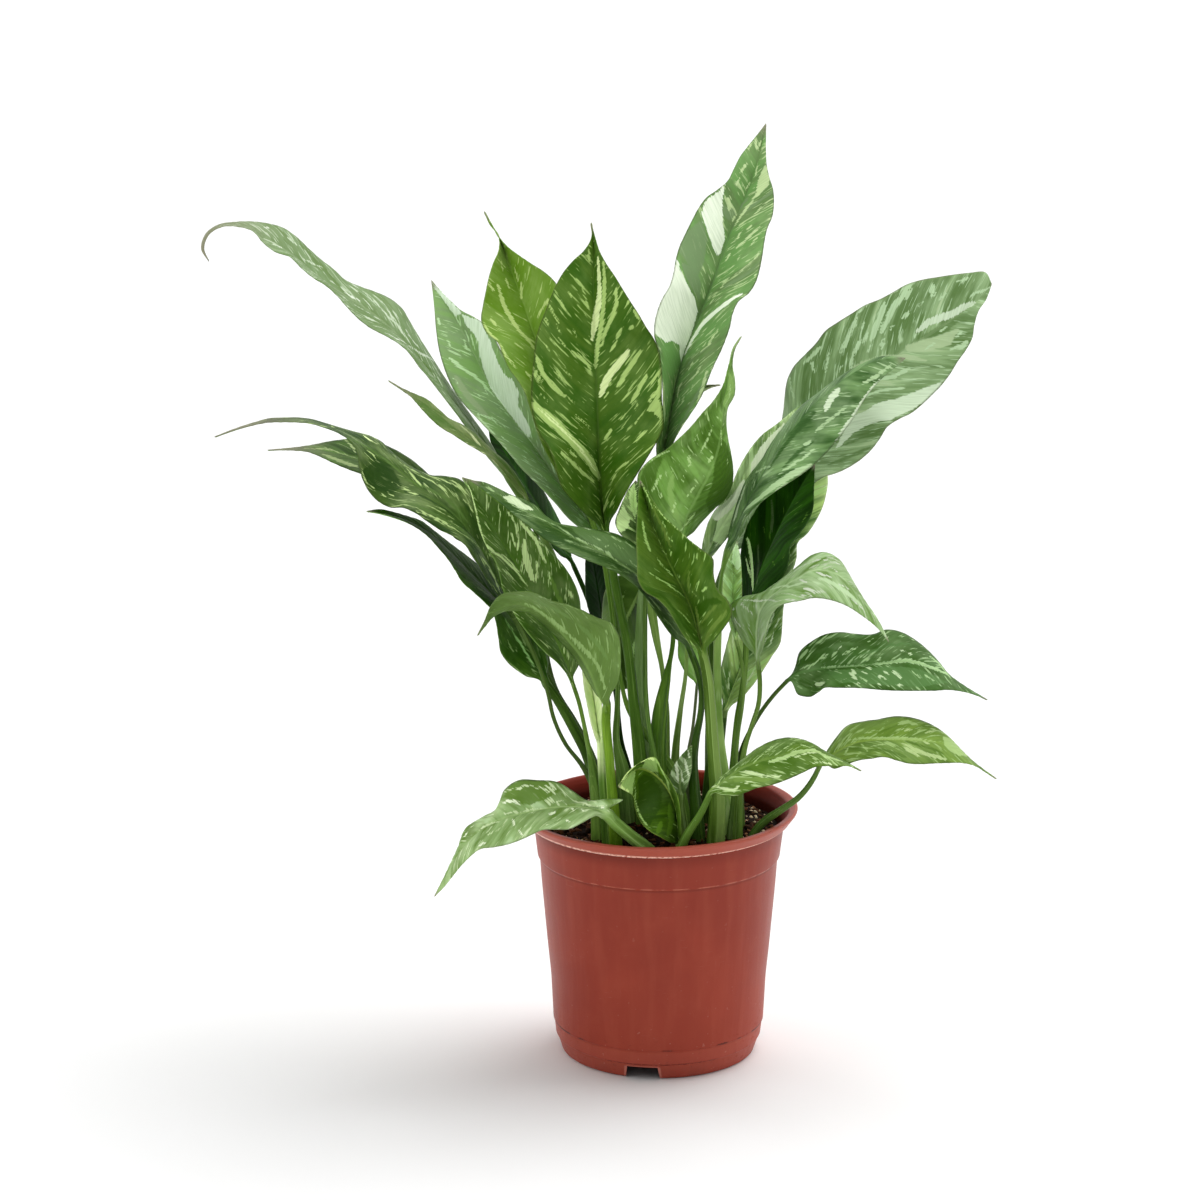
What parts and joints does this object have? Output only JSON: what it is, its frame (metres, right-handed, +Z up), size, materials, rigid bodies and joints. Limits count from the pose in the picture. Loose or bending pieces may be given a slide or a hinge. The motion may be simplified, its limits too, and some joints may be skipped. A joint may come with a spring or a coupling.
{
  "type": "potted peace lily",
  "caption": "Foliage houseplant with lance-shaped, cream-streaked leaves on slender petioles, rooted in potting mix in a thin round nursery pot with a rolled rim.",
  "frame": {"origin": "middle of the whole plant's spread in X and Y, on the surface that the pot stands on", "axes": "+Z up along the plant's height, its longest extent; the pictured side faces -Y and +X is to the viewer's right"},
  "size_m": [0.3729, 0.1932, 0.4288],
  "materials": {
    "pot_plastic": "terracotta-coloured moulded plastic, satin, lightly scuffed",
    "potting_mix": "rough moist bark and peat with white perlite grains",
    "leaf_dark": "satin leaf, dark green with cream flecks along the side veins",
    "leaf_mid": "satin leaf, mid green streaked with cream along the side veins",
    "leaf_pale": "satin leaf, grey-green to white variegation along the side veins"
  },
  "bodies": {
    "root": {"pot": "pot_plastic", "potting_mix": "potting_mix", "leaf_centre_dark": "leaf_dark", "leaf_right_shaded": "leaf_dark", "leaf_left_low": "leaf_dark", "leaf_back_shaded": "leaf_dark", "leaf_inner_shaded": "leaf_dark", "leaf_front_dark": "leaf_dark", "leaf_back_hooked": "leaf_dark", "leaf_tallest": "leaf_mid", "leaf_centre_right": "leaf_mid", "leaf_left_long": "leaf_mid", "leaf_left_arching": "leaf_mid", "leaf_left_under": "leaf_mid", "leaf_left_streaked": "leaf_mid", "leaf_right_low": "leaf_mid", "leaf_right_lowest": "leaf_mid", "leaf_front_right_low": "leaf_mid", "leaf_over_rim": "leaf_mid", "leaf_front_curled": "leaf_mid", "leaf_left_slim": "leaf_mid", "leaf_inner_hanging": "leaf_mid", "leaf_inner_right": "leaf_mid", "leaf_far_left_hooked": "leaf_pale", "leaf_left_pale": "leaf_pale", "leaf_back_bright": "leaf_pale", "leaf_right_large": "leaf_pale", "leaf_right_narrow": "leaf_pale", "leaf_right_pale": "leaf_pale", "leaf_right_back": "leaf_pale", "leaf_front_arching": "leaf_pale", "leaf_young_rolled": "leaf_pale", "leaf_right_drooping": "leaf_pale", "leaf_young_white": "leaf_pale", "leaf_young_centre": "leaf_pale", "leaf_young_sliver": "leaf_pale"}
  },
  "joints": []
}
